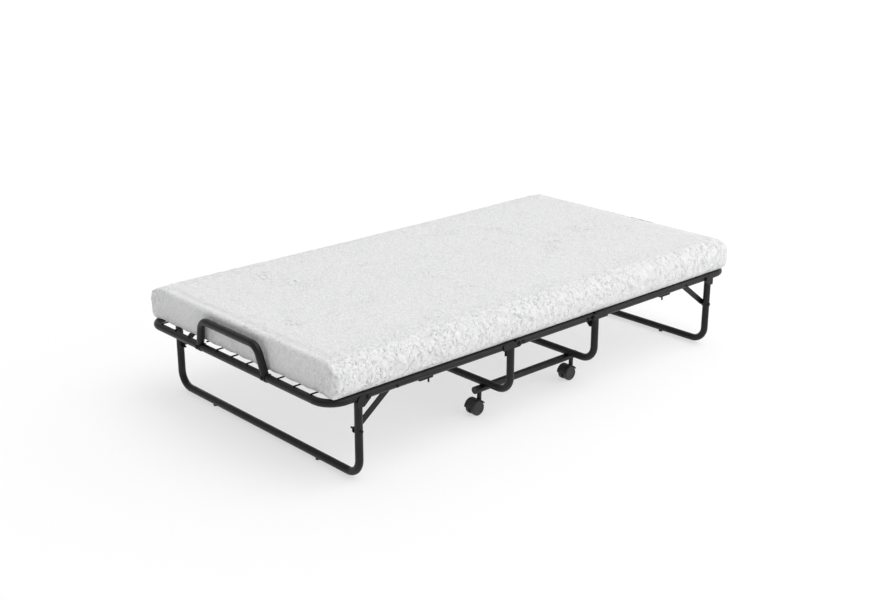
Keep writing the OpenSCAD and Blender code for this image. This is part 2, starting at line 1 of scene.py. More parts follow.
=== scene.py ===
# %% [markdown]
# # Folding rollaway bed
# The bed's steel frame, legs, deck and casters come in as finished solids. This lesson gives each
# of them its surface, adds weld beads where tubes and plates are joined, and makes the mattress.
# Everything is in metres, apart from sizes whose names end in MM. The mattress and the beads take
# their places from the frame's own boxes and hinges, so they follow it when it changes.

# %% Load the frame
import math
import bmesh
import bpy
import numpy as np
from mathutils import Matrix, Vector, noise


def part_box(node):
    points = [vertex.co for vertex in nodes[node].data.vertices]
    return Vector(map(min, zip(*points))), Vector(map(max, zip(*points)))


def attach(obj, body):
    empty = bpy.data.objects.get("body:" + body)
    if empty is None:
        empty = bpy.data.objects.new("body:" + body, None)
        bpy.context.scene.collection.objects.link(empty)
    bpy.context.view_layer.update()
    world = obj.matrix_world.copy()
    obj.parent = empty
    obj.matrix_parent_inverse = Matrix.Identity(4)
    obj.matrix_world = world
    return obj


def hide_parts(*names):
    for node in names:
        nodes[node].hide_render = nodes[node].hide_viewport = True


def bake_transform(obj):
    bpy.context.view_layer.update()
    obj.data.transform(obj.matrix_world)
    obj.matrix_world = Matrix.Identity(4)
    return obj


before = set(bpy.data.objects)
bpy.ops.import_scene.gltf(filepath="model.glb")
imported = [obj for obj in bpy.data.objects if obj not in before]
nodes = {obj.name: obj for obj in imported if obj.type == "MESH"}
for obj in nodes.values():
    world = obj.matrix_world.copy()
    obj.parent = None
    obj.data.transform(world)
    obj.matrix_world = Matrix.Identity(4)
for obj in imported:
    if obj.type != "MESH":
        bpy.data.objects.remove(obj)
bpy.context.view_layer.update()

# %% [markdown]
# ## Camera
# The bed is seen from its head end and near side, from a little above. A long lens from a few
# metres away keeps the far leg nearly as large as the near one. The camera could track an empty at
# the bed's middle, but a place and two angles say the same with nothing to keep in step.

# %% Camera
CAMERA_PLACE = Vector((-3.040, -3.219, 1.773))
CAMERA_AZIMUTH = math.radians(-42.59)
CAMERA_ELEVATION = math.radians(19.0)
CAMERA_LENS_MM = 54.5

camera_data = bpy.data.cameras.new("camera")
camera_data.sensor_width = 36
camera_data.lens = CAMERA_LENS_MM
camera = bpy.data.objects.new("camera", camera_data)
bpy.context.collection.objects.link(camera)
away = Vector((
    math.sin(CAMERA_AZIMUTH) * math.cos(CAMERA_ELEVATION),
    -math.cos(CAMERA_AZIMUTH) * math.cos(CAMERA_ELEVATION),
    math.sin(CAMERA_ELEVATION),
))
camera.location = CAMERA_PLACE
camera.rotation_euler = away.to_track_quat("Z", "Y").to_euler()
bpy.context.scene.camera = camera
print("camera stands", round(CAMERA_PLACE.length, 2), "m from the floor under the bed's middle")

# %% [markdown]
# ## Helpers for materials
# A material is a small network of nodes. Writing each one out by hand repeats the same three
# steps: make the node, set its values, link its inputs. One function does all three, and another
# turns the colours a person reads off a screen (sRGB hex) into the linear values light needs. Every
# finish here runs between a dark and a light tone of one colour, so that has its function too.


# %% Material helpers
def linear(hex_colour):
    """A colour such as "#1d1d1f" as linear red, green, blue and alpha."""
    channels = [int(hex_colour[i:i + 2], 16) / 255 for i in (1, 3, 5)]
    return [c / 12.92 if c <= 0.04045 else ((c + 0.055) / 1.055) ** 2.4 for c in channels] + [1]


def add_node(tree, kind, inputs=None, **settings):
    """A new shader node. An input is given as a value, or as another node's output to link."""
    node = tree.nodes.new("ShaderNode" + kind)
    for name, value in settings.items():
        setattr(node, name, value)
    for name, value in (inputs or {}).items():
        if isinstance(value, bpy.types.NodeSocket):
            tree.links.new(value, node.inputs[name])
        else:
            node.inputs[name].default_value = value
    return node


def new_material(name):
    """An empty material, its node tree and its main shader."""
    material = bpy.data.materials.new(name)
    material.use_nodes = True
    tree = material.node_tree
    tree.nodes.clear()
    shader = add_node(tree, "BsdfPrincipled")
    add_node(tree, "OutputMaterial", {"Surface": shader.outputs["BSDF"]})
    return material, tree, shader


def two_tone(tree, factor, dark, light):
    """A colour running from dark to light as factor rises. Each is (factor, hex colour)."""
    ramp = add_node(tree, "ValToRGB", {"Fac": factor})
    for element, (position, hex_colour) in zip(ramp.color_ramp.elements, (dark, light)):
        element.position = position
        element.color = linear(hex_colour)
    return ramp.outputs["Color"]


def per_metre(millimetres):
    """A texture's scale for a feature of this size, on coordinates in metres."""
    return 1000 / millimetres


# %% [markdown]
# ## Powder coat
# The tubes are mild steel with a black polyester powder coat, baked on: a satin skin with a fine
# orange peel and a soft sheen along the top of each tube. Real orange peel is about 1 mm across,
# too fine to show from here, so it is drawn at 3 mm. A slow cloud of handling marks varies the
# colour and the gloss, since no coated frame stays even. One noise for both would look painted on,
# so the gloss has its own.


# %% Powder-coated steel
def powder_coated_steel():
    material, tree, shader = new_material("black_powder_coat")
    place = add_node(tree, "TexCoord").outputs["Object"]
    handling = add_node(tree, "TexNoise", {"Vector": place, "Scale": per_metre(45), "Detail": 4})
    colour = two_tone(tree, handling.outputs["Fac"], (0.35, "#0e0e0f"), (0.75, "#18181a"))
    gloss = add_node(tree, "TexNoise", {"Vector": place, "Scale": per_metre(18), "Detail": 3})
    roughness = add_node(tree, "MapRange", {
        "Value": gloss.outputs["Fac"], "From Min": 0.3, "From Max": 0.7,
        "To Min": 0.34, "To Max": 0.48,
    })
    peel = add_node(tree, "TexNoise", {"Vector": place, "Scale": per_metre(3), "Detail": 1})
    bump = add_node(tree, "Bump", {
        "Height": peel.outputs["Fac"], "Strength": 0.25, "Distance": 0.0004,
    })
    tree.links.new(colour, shader.inputs["Base Color"])
    tree.links.new(roughness.outputs["Result"], shader.inputs["Roughness"])
    tree.links.new(bump.outputs["Normal"], shader.inputs["Normal"])
    shader.inputs["IOR"].default_value = 1.5
    shader.inputs["Specular IOR Level"].default_value = 0.3
    return material


# %% [markdown]
# ## Black oxide
# The bolts, nuts and studs are steel, blackened in a hot bath and oiled. The coat is a few
# thousandths of a millimetre, so the metal still shines through it: a metal shader with a dark
# colour, and patches where the oil has dried are darker, browner and duller.


# %% Blackened steel
def blackened_steel():
    material, tree, shader = new_material("blackened_steel")
    place = add_node(tree, "TexCoord").outputs["Object"]
    oil = add_node(tree, "TexNoise", {"Vector": place, "Scale": per_metre(6), "Detail": 5})
    colour = two_tone(tree, oil.outputs["Fac"], (0.3, "#1d1c1c"), (0.7, "#3a393c"))
    roughness = add_node(tree, "MapRange", {
        "Value": oil.outputs["Fac"], "From Min": 0.3, "From Max": 0.7,
        "To Min": 0.5, "To Max": 0.32,
    })
    tree.links.new(colour, shader.inputs["Base Color"])
    tree.links.new(roughness.outputs["Result"], shader.inputs["Roughness"])
    shader.inputs["Metallic"].default_value = 1
    return material


# %% [markdown]
# ## Moulded nylon
# The caster hoods, bushes, glides and end caps are injection-moulded black nylon: a matt grain
# etched into the mould, half a millimetre across and drawn at 1.5 mm. The wheels are the same
# plastic, but the floor has polished them, so they are a little lighter and glossier, and grit has
# scuffed them in patches. The two share one function, which takes the colours, the dullness and how
# strongly the patches vary it.


# %% Moulded nylon
def moulded_nylon(name, dark, light, dull, scuffing):
    material, tree, shader = new_material(name)
    place = add_node(tree, "TexCoord").outputs["Object"]
    grain = add_node(tree, "TexNoise", {"Vector": place, "Scale": per_metre(1.5), "Detail": 2})
    dust = add_node(tree, "TexNoise", {"Vector": place, "Scale": per_metre(14), "Detail": 5})
    colour = two_tone(tree, dust.outputs["Fac"], (0.4, dark), (0.8, light))
    gloss = add_node(tree, "MapRange", {
        "Value": dust.outputs["Fac"], "From Min": 0.35, "From Max": 0.65,
        "To Min": dull - scuffing, "To Max": dull + scuffing,
    })
    bump = add_node(tree, "Bump", {
        "Height": grain.outputs["Fac"], "Strength": 0.3, "Distance": 0.0003,
    })
    tree.links.new(colour, shader.inputs["Base Color"])
    tree.links.new(gloss.outputs["Result"], shader.inputs["Roughness"])
    tree.links.new(bump.outputs["Normal"], shader.inputs["Normal"])
    shader.inputs["IOR"].default_value = 1.53
    return material


# %% [markdown]
# ## Dressing the frame
# Every frame node gets its surface by a word in its name. The mattress's own nodes are left alone,
# since the shaped mattress below stands in for them.

# %% Dress the frame
coat = powder_coated_steel()
oxide = blackened_steel()
nylon = moulded_nylon("moulded_nylon", "#101011", "#1a1a1c", 0.55, scuffing=0.04)
wheel_plastic = moulded_nylon("wheel_plastic", "#131314", "#202022", 0.42, scuffing=0.1)

FASTENERS = ("bolts", "nuts", "studs")
NYLON_PIECES = ("fork", "sockets", "caps", "glides")
frame_nodes = {name: node for name, node in nodes.items() if not name.startswith("mattress")}
for name, piece in frame_nodes.items():
    if name.endswith(FASTENERS):
        surface = oxide
    elif "wheels" in name:
        surface = wheel_plastic
    elif any(word in name for word in NYLON_PIECES):
        surface = nylon
    else:
        surface = coat
    piece.data.materials.clear()
    piece.data.materials.append(surface)
print("dressed", len(frame_nodes), "frame nodes")

# %% [markdown]
# ## Weld beads
# The frame is MIG-welded before it is coated. Where a cross tube ends on a rail, a bead of metal
# about 4 mm wide runs round it, with the ripple of a hand-held torch, under the same black coat. It
# follows the curve where one tube's skin meets the other's. That curve is found by walking round
# the first tube and sliding along it until the point lies on the second. Each bead is a chain of
# short rings, swept along the curve with a radius that swells and shrinks as the ripples do.

# %% Where two tubes meet
def meeting_curve(branch, toward, branch_radius, tube, along, tube_radius, steps=40):
    """Points where a branch tube's skin reaches the skin of the tube it ends on. The branch's
    axis passes through branch and runs toward the tube, whose axis passes through tube."""
    toward, along = Vector(toward).normalized(), Vector(along).normalized()
    side = toward.cross(along).normalized()
    other = toward.cross(side)
    curve = []
    for i in range(steps):
        turn = 2 * math.pi * i / steps
        start = Vector(branch) + (side * math.cos(turn) + other * math.sin(turn)) * branch_radius
        gap = start - Vector(tube)
        gap -= along * gap.dot(along)
        slope = toward - along * toward.dot(along)
        a, b, c = slope.dot(slope), 2 * gap.dot(slope), gap.dot(gap) - tube_radius ** 2
        reach = (-b - math.sqrt(max(b * b - 4 * a * c, 0))) / (2 * a)
        curve.append(start + toward * reach)
    return curve


# %% Sweep a bead
BEAD_RADIUS = 0.0019
BEAD_SIDES = 8
RIPPLE_MM = 3.0
RIPPLE_DEPTH = 0.18


def weld_bead(name, curves, body, closed=True, radius=BEAD_RADIUS):
    """One piece holding a bead along every curve, each a list of points."""
    bm = bmesh.new()
    for curve in curves:
        count = len(curve)
        rings = []
        for i, point in enumerate(curve):
            before = curve[i - 1] if closed or i else point
            after = curve[(i + 1) % count] if closed or i < count - 1 else point
            forward = (after - before).normalized()
            side = forward.orthogonal().normalized()
            other = forward.cross(side)
            swell = radius * (1 + RIPPLE_DEPTH * noise.noise(point * per_metre(RIPPLE_MM)))
            turns = [2 * math.pi * k / BEAD_SIDES for k in range(BEAD_SIDES)]
            rings.append([bm.verts.new(point + (side * math.cos(t) + other * math.sin(t)) * swell)
                          for t in turns])
        for i in range(count if closed else count - 1):
            near, far = rings[i], rings[(i + 1) % count]
            shift = min(range(BEAD_SIDES), key=lambda k: (far[k].co - near[0].co).length)
            for k in range(BEAD_SIDES):
                after_k = (k + 1) % BEAD_SIDES
                bm.faces.new((near[k], near[after_k], far[(after_k + shift) % BEAD_SIDES],
                              far[(k + shift) % BEAD_SIDES]))
        if not closed:
            bm.faces.new(rings[0][::-1])
            bm.faces.new(rings[-1])
    bmesh.ops.recalc_face_normals(bm, faces=bm.faces)
    for face in bm.faces:
        face.smooth = True
    mesh = bpy.data.meshes.new(name)
    bm.to_mesh(mesh)
    bm.free()
    mesh.materials.append(coat)
    piece = bpy.data.objects.new(name, mesh)
    bpy.context.collection.objects.link(piece)
    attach(piece, body)


# %% Weld the cross tubes to the rails
TUBE_RADIUS = 0.0125
CROSS_RADIUS = 0.0095
rail_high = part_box("head_frame")[1]
RAIL_Y = rail_high[1] - TUBE_RADIUS
RAIL_Z = rail_high[2] - TUBE_RADIUS
CROSS_Z = rail_high[2] - CROSS_RADIUS


def cross_tube_welds(xs):
    return [meeting_curve((x, 0, CROSS_Z), (0, side, 0), CROSS_RADIUS,
                          (x, side * RAIL_Y, RAIL_Z), (1, 0, 0), TUBE_RADIUS)
            for x in xs for side in (-1, 1)]


centre_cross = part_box("centre_cross_tubes")[1][0] - CROSS_RADIUS
weld_bead("centre_cross_welds", cross_tube_welds((-centre_cross, centre_cross)), "centre_frame")
for end, out in (("head", -1), ("foot", 1)):
    low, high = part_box(end + "_cross_tubes")
    inner = min(abs(low[0]), abs(high[0])) + CROSS_RADIUS
    outer = max(abs(low[0]), abs(high[0])) - CROSS_RADIUS
    weld_bead(end + "_cross_welds", cross_tube_welds((out * inner, out * outer)), end + "_half")

# %% [markdown]
# The hinge straps and the legs' ears are flat plates laid against a round tube. Their seams are
# straight, one along each edge of the plate, and thinner than the beads round the tubes.

# %% Weld the hinge straps and leg ears
SEAM_RADIUS = 0.0014
STRAP_SEAM_LENGTH = 0.046
STRAP_HALF_HEIGHT = 0.0075
STRAP_SEAM_DEPTH = 0.004
EAR_HALF_WIDTH = 0.0085
EAR_SEAM_DEPTH = 0.0035
EAR_SEAM_FOOT = 0.001
EAR_SEAM_HEAD = 0.003


def seam_between(start, end, count):
    start, end = Vector(start), Vector(end)
    return [start.lerp(end, i / (count - 1)) for i in range(count)]


def strap_seams(end, out):
    """Both edges of both straps, from their far ends back towards the hinge."""
    low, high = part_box(end + "_hinge_straps")
    far_x = out * max(abs(low[0]), abs(high[0]))
    near_x = far_x - out * STRAP_SEAM_LENGTH
    seam_y = high[1] - STRAP_SEAM_DEPTH
    return [seam_between((far_x, side * seam_y, z), (near_x, side * seam_y, z), count=14)
            for side in (-1, 1) for z in (RAIL_Z - STRAP_HALF_HEIGHT, RAIL_Z + STRAP_HALF_HEIGHT)]


def ear_seams(end):
    """Both edges of both ears, up the leg's tube."""
    ear_low, ear_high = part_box(end + "_leg_ears")
    leg_low, leg_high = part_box(end + "_leg_tube")
    leg_x = (leg_low[0] + leg_high[0]) / 2
    seam_y = ear_high[1] - EAR_SEAM_DEPTH
    foot_z, head_z = ear_low[2] + EAR_SEAM_FOOT, leg_high[2] - EAR_SEAM_HEAD
    return [seam_between((x, side * seam_y, foot_z), (x, side * seam_y, head_z), count=8)
            for side in (-1, 1) for x in (leg_x - EAR_HALF_WIDTH, leg_x + EAR_HALF_WIDTH)]


for end, out in (("head", -1), ("foot", 1)):
    weld_bead(end + "_strap_welds", strap_seams(end, out), end + "_half", closed=False,
              radius=SEAM_RADIUS)
    weld_bead(end + "_ear_welds", ear_seams(end), end + "_leg", closed=False, radius=SEAM_RADIUS)

# %% [markdown]
# ## Knitted mattress cover
# The cover is a white polyester double knit, sewn round the foam. The knit is embossed with an
# irregular, leafy figure: yarn floats over the backing in short strokes that catch the light. Its
# loops are about 1.5 mm wide and are drawn at 4 mm. The strokes are the level lines of a warped
# noise, broken into short lengths by a finer one, and a slow noise lets them gather in clusters. A
# pebbled ground lies under them. On the long sides the knit is loose, and the strokes are stronger
# all along. A cover this matt shows little of its relief by light alone, so shade is also painted
# into its colour: the hollows, and the strokes most of all, are drawn darker. The crumpled side is
# real geometry, made with the mattress.


# %% Knitted cover
LOOP_MM = 4
PEBBLE_MM = 9
STROKE_MM = 15
# How far from its middle value the noise still draws a stroke
STROKE_WIDTH = 0.035
WARP_MM = 28
WARP_SHIFT = 0.03
CLUSTER_MM = 110
SIDE_START = 0.36
SIDE_FULL = 0.48


def knitted_cover():
    material, tree, shader = new_material("white_knit")
    place = add_node(tree, "TexCoord").outputs["Object"]
    warp = add_node(tree, "TexNoise", {
        "Vector": place, "Scale": per_metre(WARP_MM), "Detail": 2,
    })
    bent = add_node(tree, "VectorMath", {0: warp.outputs["Color"], 1: [WARP_SHIFT] * 3},
                    operation="MULTIPLY")
    warped = add_node(tree, "VectorMath", {0: place, 1: bent.outputs["Vector"]}, operation="ADD")
    drawn = add_node(tree, "VectorMath", {0: warped.outputs["Vector"], 1: (1.0, 0.75, 0.55)},
                     operation="MULTIPLY").outputs["Vector"]
    strokes = add_node(tree, "TexNoise", {
        "Vector": drawn, "Scale": per_metre(STROKE_MM), "Detail": 2, "Distortion": 0.8,
    })
    level = add_node(tree, "Math", {0: strokes.outputs["Fac"], 1: 0.5}, operation="SUBTRACT")
    level = add_node(tree, "Math", {0: level.outputs["Value"]}, operation="ABSOLUTE")
    line = add_node(tree, "MapRange", {
        "Value": level.outputs["Value"], "From Min": 0, "From Max": STROKE_WIDTH,
        "To Min": 1, "To Max": 0,
    })
    pebbles = add_node(tree, "TexNoise", {
        "Vector": warped.outputs["Vector"], "Scale": per_metre(PEBBLE_MM), "Detail": 3,
    })
    broken = add_node(tree, "MapRange", {
        "Value": pebbles.outputs["Fac"], "From Min": 0.42, "From Max": 0.55,
    })
    stroke = add_node(tree, "Math", {0: line.outputs["Result"], 1: broken.outputs["Result"]},
                      operation="MULTIPLY")
    across = add_node(tree, "SeparateXYZ", {"Vector": place})
    from_middle = add_node(tree, "Math", {0: across.outputs["Y"]}, operation="ABSOLUTE")
    side = add_node(tree, "MapRange", {
        "Value": from_middle.outputs["Value"], "From Min": SIDE_START, "From Max": SIDE_FULL,
        "To Min": 0, "To Max": 0.22,
    })
    cluster = add_node(tree, "TexNoise", {
        "Vector": place, "Scale": per_metre(CLUSTER_MM), "Detail": 3,
    })
    gather = add_node(tree, "MapRange", {
        "Value": cluster.outputs["Fac"], "From Min": 0.56, "From Max": 0.74,
        "To Min": 0.22, "To Max": 0.5,
    })
    amount = add_node(tree, "Math", {0: gather.outputs["Result"], 1: side.outputs["Result"]},
                      operation="ADD", use_clamp=True)
    figure = add_node(tree, "Math", {0: stroke.outputs["Value"], 1: amount.outputs["Value"]},
                      operation="MULTIPLY")
    loops = add_node(tree, "TexNoise", {"Vector": place, "Scale": per_metre(LOOP_MM), "Detail": 2})
    ground = add_node(tree, "Mix", {
        "Factor": 0.5, "A": loops.outputs["Fac"], "B": pebbles.outputs["Fac"],
    })
    height = add_node(tree, "Math", {0: ground.outputs["Result"], 1: figure.outputs["Value"]},
                      operation="SUBTRACT")
    bump = add_node(tree, "Bump", {
        "Height": height.outputs["Value"], "Strength": 1.0, "Distance": 0.0035,
    })
    # Painted shade: the colour follows the relief, so hollows and strokes (stronger on the long
    # sides) are drawn darker
    colour = two_tone(tree, height.outputs["Value"], (0.0, "#c2c3c5"), (0.6, "#ededed"))
    tree.links.new(colour, shader.inputs["Base Color"])
    tree.links.new(bump.outputs["Normal"], shader.inputs["Normal"])
    shader.inputs["Roughness"].default_value = 0.9
    shader.inputs["Specular IOR Level"].default_value = 0.2
    shader.inputs["Sheen Weight"].default_value = 0.08
    shader.inputs["Sheen Roughness"].default_value = 0.5
    return material


cover = knitted_cover()

# %% [markdown]
# ## Mattress block
# The mattress is one slab of foam. Its long sides are full and round, its ends are cut flat, and it
# rests on the deck's rods. It could be a cube with a bevel, but a bevel has one width for every
# edge, and the wide flat faces would have no points for wrinkles. So the block is a box of square
# cells, and each edge is rounded by its own radius: inside the corner square of an edge, points
# move so that the square becomes a quarter disc. Last, the long sides are pushed out to a bulge.

# %% Mattress sizes
CELL = 0.010
SIDE_INSET = 0.003
TOP_INSET = 0.0005
foot_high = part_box("mattress_foot")[1]
HALF_LENGTH = foot_high[0]
HALF_WIDTH = foot_high[1] - SIDE_INSET
DECK_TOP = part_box("centre_deck_rods")[1][2]
RAIL_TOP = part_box("head_frame")[1][2]
MATTRESS_TOP = foot_high[2] - TOP_INSET
LONG_TOP_RADIUS = 0.044
LONG_BOTTOM_RADIUS = 0.020
LONG_BULGE = 0.013
BULGE_REACH = 0.09
BULGE_HEIGHT = 0.4
END_TOP_RADIUS = 0.013
END_BOTTOM_RADIUS = 0.005
CORNER_RADIUS = 0.012
print("mattress", round(2 * HALF_LENGTH, 3), "x", round(2 * HALF_WIDTH, 3), "m")


# %% Box of square cells
def cell_box(low, high, cell):
    """A closed box mesh of cells about this size."""
    bm = bmesh.new()
    counts = [max(1, round((high[i] - low[i]) / cell)) for i in range(3)]
    found = {}

    def corner(index):
        if index not in found:
            found[index] = bm.verts.new(
                [low[i] + (high[i] - low[i]) * index[i] / counts[i] for i in range(3)])
        return found[index]

    for axis in range(3):
        a, b = (axis + 1) % 3, (axis + 2) % 3
        for side in (0, counts[axis]):
            for i in range(counts[a]):
                for j in range(counts[b]):
                    steps = ((i, j), (i + 1, j), (i + 1, j + 1), (i, j + 1))
                    if side == 0:
                        steps = steps[::-1]
                    ring = []
                    for step_a, step_b in steps:
                        index = [0, 0, 0]
                        index[axis], index[a], index[b] = side, step_a, step_b
                        ring.append(corner(tuple(index)))
                    bm.faces.new(ring)
    mesh = bpy.data.meshes.new("mattress_block")
    bm.to_mesh(mesh)
    bm.free()
    return mesh


def read_points(mesh):
    points = np.empty(len(mesh.vertices) * 3)
    mesh.vertices.foreach_get("co", points)
    return points.reshape(-1, 3)


def write_points(mesh, points):
    mesh.vertices.foreach_set("co", points.ravel())
    mesh.update()


def smooth_step(value, low, high):
    t = np.clip((value - low) / (high - low), 0, 1)
    return t * t * (3 - 2 * t)


# %% Round the block's edges
def round_edge(points, axis_a, face_a, axis_b, face_b, radius):
    """Rounds the edge where the box reaches face_a along axis_a and face_b along axis_b.
    A face is (place, outward direction as 1 or -1)."""
    (place_a, out_a), (place_b, out_b) = face_a, face_b
    a = 1 + out_a * (points[:, axis_a] - place_a) / radius
    b = 1 + out_b * (points[:, axis_b] - place_b) / radius
    near = (a > 0) & (b > 0)
    a, b = a[near], b[near]
    points[near, axis_a] += out_a * radius * (a * np.sqrt(1 - b * b / 2) - a)
    points[near, axis_b] += out_b * radius * (b * np.sqrt(1 - a * a / 2) - b)


def mattress_block():
    low = (-HALF_LENGTH, -HALF_WIDTH, DECK_TOP)
    high = (HALF_LENGTH, HALF_WIDTH, MATTRESS_TOP)
    mesh = cell_box(low, high, CELL)
    points = read_points(mesh)
    top, bottom = (MATTRESS_TOP, 1), (DECK_TOP, -1)
    for out in (-1, 1):
        side = (out * HALF_WIDTH, out)
        round_edge(points, 1, side, 2, top, LONG_TOP_RADIUS)
        round_edge(points, 1, side, 2, bottom, LONG_BOTTOM_RADIUS)
    for out in (-1, 1):
        end = (out * HALF_LENGTH, out)
        round_edge(points, 0, end, 2, top, END_TOP_RADIUS)
        round_edge(points, 0, end, 2, bottom, END_BOTTOM_RADIUS)
        for across in (-1, 1):
            round_edge(points, 0, end, 1, (across * HALF_WIDTH, across), CORNER_RADIUS)
    height = (points[:, 2] - DECK_TOP) / (MATTRESS_TOP - DECK_TOP)
    fullness = 1 - np.clip(np.abs(height - BULGE_HEIGHT) / (1 - BULGE_HEIGHT), 0, 1) ** 2
    outer = smooth_step(np.abs(points[:, 1]), HALF_WIDTH - BULGE_REACH, HALF_WIDTH)
    points[:, 1] += np.sign(points[:, 1]) * outer * fullness * LONG_BULGE
    write_points(mesh, points)
    piece = bpy.data.objects.new("mattress", mesh)
    bpy.context.collection.objects.link(piece)
    print("block:", len(mesh.vertices), "points")
    return piece


mattress = mattress_block()

# %% [markdown]
# ## Filling the cover
# Foam pushes its cover outwards, most in the middle of a face and least along a seam. A cloth
# simulation with a little air pressure does the same to the block. The underside is pinned to the
# deck. Foam holds its shape, so a point may move at most 4 mm sideways, 2 mm up or down and
# 1.5 mm along the bed.

# %% Fill the cover
SIM_FRAMES = 20
PRESSURE = 4
PINNED_HEIGHT = 0.002
MOST_MOVE = np.array((0.0015, 0.004, 0.002))


def fill_cover(piece):
    start = read_points(piece.data)
    pinned = piece.vertex_groups.new(name="on_deck")
    pinned.add([int(i) for i in np.flatnonzero(start[:, 2] < DECK_TOP + PINNED_HEIGHT)], 1, "REPLACE")
    cloth = piece.modifiers.new("cover", "CLOTH")
    cloth.settings.quality = 4
    cloth.settings.mass = 0.3
    cloth.settings.use_pressure = True
    cloth.settings.uniform_pressure_force = PRESSURE
    cloth.settings.effector_weights.gravity = 0
    cloth.settings.vertex_group_mass = pinned.name
    cloth.collision_settings.use_collision = False
    cloth.point_cache.frame_start = 1
    cloth.point_cache.frame_end = SIM_FRAMES
    for step in range(1, SIM_FRAMES + 1):
        bpy.context.scene.frame_set(step)
    filled = piece.evaluated_get(bpy.context.evaluated_depsgraph_get())
    moved = read_points(filled.data) - start
    piece.modifiers.remove(cloth)
    bpy.context.scene.frame_set(1)
    write_points(piece.data, start + np.clip(moved, -MOST_MOVE, MOST_MOVE))
    print("cover moved up to", round(float(np.abs(moved).max()) * 1000, 1), "mm before the cap")


fill_cover(mattress)


# %% [markdown]
# ## Wrinkles
# The knit is looser than the foam, so the long sides and, less so, the ends are covered in short,
# shallow wrinkles, and the top has broad, faint unevenness. Sculpting each by hand would take hours;
# noise read at every point and pushed along the surface gives the same field of creases. Stretching
# the noise upwards makes the creases run up the side. One subdivision comes first, so that there
# are points to carry them. The underside sags a little between the deck's rods, and over the side
# rails it sags from the rods to the tube.

# %% Wrinkles
TOP_SWELL = 0.0008
SIDE_CREASE = 0.0021
SIDE_WAVE = 0.021
CREASE_STRETCH = 2.4
ROD_PITCH = 0.080
ROD_SAG = 0.0028
RODS_END = 0.40
SWELL_WAVE = 0.22
END_SHARE = 0.6
RAIL_SAG_START = 0.43
RAIL_SAG_FULL = 0.46
RAIL_GAP = 0.0007


def crease_height(place, wave, stretch):
    """Noise between about -1 and 1, ridged so that creases are sharper than the swells."""
    at = Vector((place[0] / wave, place[1] / wave, place[2] / (wave * stretch)))
    first = noise.noise(at)
    second = noise.noise(at * 2.1 + Vector((7.3, 1.9, 4.7)))
    return 1 - 2.6 * abs(first) + 0.5 * second


def subdivide_once(piece):
    finer = piece.modifiers.new("finer", "SUBSURF")
    finer.levels = finer.render_levels = 1
    evaluated = piece.evaluated_get(bpy.context.evaluated_depsgraph_get())
    mesh = bpy.data.meshes.new_from_object(evaluated)
    piece.modifiers.clear()
    piece.data = mesh


def wrinkle(piece):
    mesh = piece.data
    points = read_points(mesh)
    normals = np.array([v.normal for v in mesh.vertices])
    height = (points[:, 2] - DECK_TOP) / (MATTRESS_TOP - DECK_TOP)
    long_side = smooth_step(np.abs(points[:, 1]), HALF_WIDTH - 0.06, HALF_WIDTH - 0.015)
    end = smooth_step(np.abs(points[:, 0]), HALF_LENGTH - 0.03, HALF_LENGTH - 0.005)
    side = np.clip(long_side + END_SHARE * end, 0, 1) * smooth_step(height, 0.02, 0.25)
    moves = np.zeros(len(points))
    for i, place in enumerate(points):
        swell = noise.noise(Vector(place) / SWELL_WAVE) * TOP_SWELL if height[i] > 0.5 else 0
        crease = 0
        if side[i] > 0.01:
            crease = crease_height(place, SIDE_WAVE, CREASE_STRETCH) * SIDE_CREASE * side[i]
        moves[i] = swell + crease
    points += normals * moves[:, None]
    from_middle = np.abs(points[:, 1])
    over_rail = smooth_step(from_middle, RAIL_SAG_START, RAIL_SAG_FULL)
    over_rail *= 1 - smooth_step(height, 0.0, 0.35)
    points[:, 2] -= over_rail * (DECK_TOP - RAIL_TOP - RAIL_GAP)
    between_rods = np.sin(math.pi * points[:, 1] / ROD_PITCH) ** 2 * (from_middle < RODS_END)
    between_rods *= 1 - smooth_step(height, 0.0, 0.3)
    points[:, 2] -= between_rods * ROD_SAG
    write_points(mesh, points)
    print("wrinkled", len(points), "points")


subdivide_once(mattress)
wrinkle(mattress)


# %% [markdown]
# ## Two halves
# The mattress bends at two hinges, and a piece can bend across only one, so it is cut in two at
# its middle, where nothing moves. Both cuts are made from the same mesh by the same plane, so the
# surfaces meet point for point, and a flat cap closes each. The cap's rim is marked sharp, which
# keeps the shading smooth across the cut.


# %% Cut the mattress at its middle
def cut_half(piece, name, keep):
    """The part of piece on the side keep (-1 or 1) of the middle, closed with a cap."""
    bm = bmesh.new()
    bm.from_mesh(piece.data)
    cut = bmesh.ops.bisect_plane(
        bm, geom=bm.verts[:] + bm.edges[:] + bm.faces[:], dist=1e-7,
        plane_co=(0, 0, 0), plane_no=(-keep, 0, 0), clear_outer=True)
    rim = [e for e in cut["geom_cut"] if isinstance(e, bmesh.types.BMEdge)]
    for face in bm.faces:
        face.smooth = True
    caps = bmesh.ops.edgenet_fill(bm, edges=rim)["faces"]
    for face in caps:
        face.smooth = False
    for edge in rim:
        edge.smooth = False
    bmesh.ops.recalc_face_normals(bm, faces=bm.faces)
    mesh = bpy.data.meshes.new(name)
    bm.to_mesh(mesh)
    bm.free()
    half = bpy.data.objects.new(name, mesh)
    bpy.context.collection.objects.link(half)
    half.data.materials.append(cover)
    return half


mattress_head_half = cut_half(mattress, "mattress_head_half", -1)
mattress_foot_half = cut_half(mattress, "mattress_foot_half", 1)
bpy.data.objects.remove(mattress)

# %% [markdown]
# Each half is left where it was cut, with its placing baked into its points. The mattress's own
# nodes are hidden, since the two halves stand in for them.

# %% Bake the halves and hide the mattress nodes
for half, end in ((mattress_head_half, "head"), (mattress_foot_half, "foot")):
    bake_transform(half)
    print(half.name, "has", len(half.data.polygons), "faces")
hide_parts("mattress_head", "mattress_bend_head", "mattress_middle")
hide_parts("mattress_foot", "mattress_bend_foot")

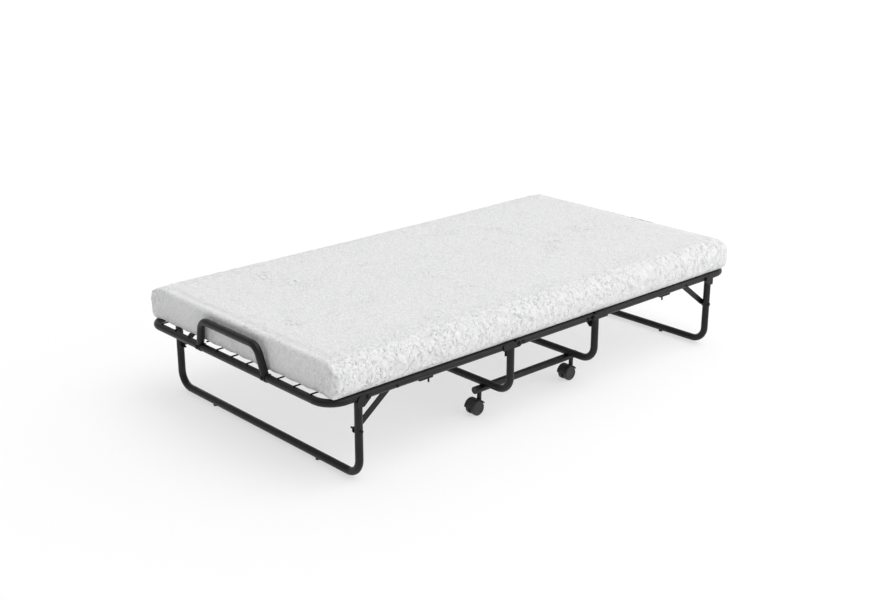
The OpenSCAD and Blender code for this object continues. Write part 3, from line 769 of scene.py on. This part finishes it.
# %% [markdown]
# ## Floor and light
# The bed stands on a plain, pale floor, in a white room. A white cover looks white only against
# its neighbours: the room alone would light every side alike, so it is darker towards the head end,
# and one broad, distant lamp stands high over the near side. The top comes out brightest, the long
# side a little darker, and the head end darkest. A softbox near the foot adds what only a close lamp
# can: light that fades along the bed towards the head. The floor gives off part of its own
# brightness, which leaves only a faint shadow under the bed.

# %% Floor and light
FLOOR_HALF = 60
ROOM_STRENGTH = 0.74
ROOM_FADE = 0.5
LAMP_STRENGTH = 1.0
LAMP_SPREAD = math.radians(50)
LAMP_DIRECTION = Vector((0.25, -0.35, 0.9))
SOFTBOX_PLACE = Vector((2.2, -2.6, 1.5))
SOFTBOX_AIM = Vector((0.7, -0.4, 0.3))
SOFTBOX_SIZE = 2.2
SOFTBOX_WATTS = 14


def studio_floor():
    mesh = bpy.data.meshes.new("floor")
    corners = [(x * FLOOR_HALF, y * FLOOR_HALF, 0) for x, y in ((-1, -1), (1, -1), (1, 1), (-1, 1))]
    mesh.from_pydata(corners, [], [(0, 1, 2, 3)])
    floor = bpy.data.objects.new("floor", mesh)
    bpy.context.collection.objects.link(floor)
    material, tree, shader = new_material("pale_floor")
    shader.inputs["Base Color"].default_value = linear("#aeaeae")
    shader.inputs["Roughness"].default_value = 0.9
    shader.inputs["Specular IOR Level"].default_value = 0.1
    shader.inputs["Emission Color"].default_value = linear("#ffffff")
    shader.inputs["Emission Strength"].default_value = 0.56
    mesh.materials.append(material)


def broad_lamp(strength, direction, spread):
    data = bpy.data.lights.new("broad_lamp", "SUN")
    data.energy = strength
    data.angle = spread
    lamp = bpy.data.objects.new("broad_lamp", data)
    lamp.rotation_euler = direction.to_track_quat("Z", "Y").to_euler()
    bpy.context.collection.objects.link(lamp)


def softbox(watts, size, place, aim):
    data = bpy.data.lights.new("softbox", "AREA")
    data.energy = watts
    data.size = size
    lamp = bpy.data.objects.new("softbox", data)
    lamp.location = place
    lamp.rotation_euler = (place - aim).to_track_quat("Z", "Y").to_euler()
    bpy.context.collection.objects.link(lamp)


studio_floor()
softbox(SOFTBOX_WATTS, SOFTBOX_SIZE, SOFTBOX_PLACE, SOFTBOX_AIM)
broad_lamp(LAMP_STRENGTH, LAMP_DIRECTION, LAMP_SPREAD)

world = bpy.data.worlds.new("white_room")
world.use_nodes = True
bpy.context.scene.world = world
room = world.node_tree
direction = add_node(room, "TexCoord").outputs["Generated"]
along_bed = add_node(room, "SeparateXYZ", {"Vector": direction})
fade = add_node(room, "MapRange", {
    "Value": along_bed.outputs["X"], "From Min": -1, "From Max": 1,
    "To Min": ROOM_STRENGTH * (1 - ROOM_FADE), "To Max": ROOM_STRENGTH * (1 + ROOM_FADE),
})
room.nodes["Background"].inputs["Color"].default_value = (1, 1, 1, 1)
room.links.new(fade.outputs["Result"], room.nodes["Background"].inputs["Strength"])
bpy.context.scene.view_settings.view_transform = "Standard"
print("room", ROOM_STRENGTH, "lamp", LAMP_STRENGTH)
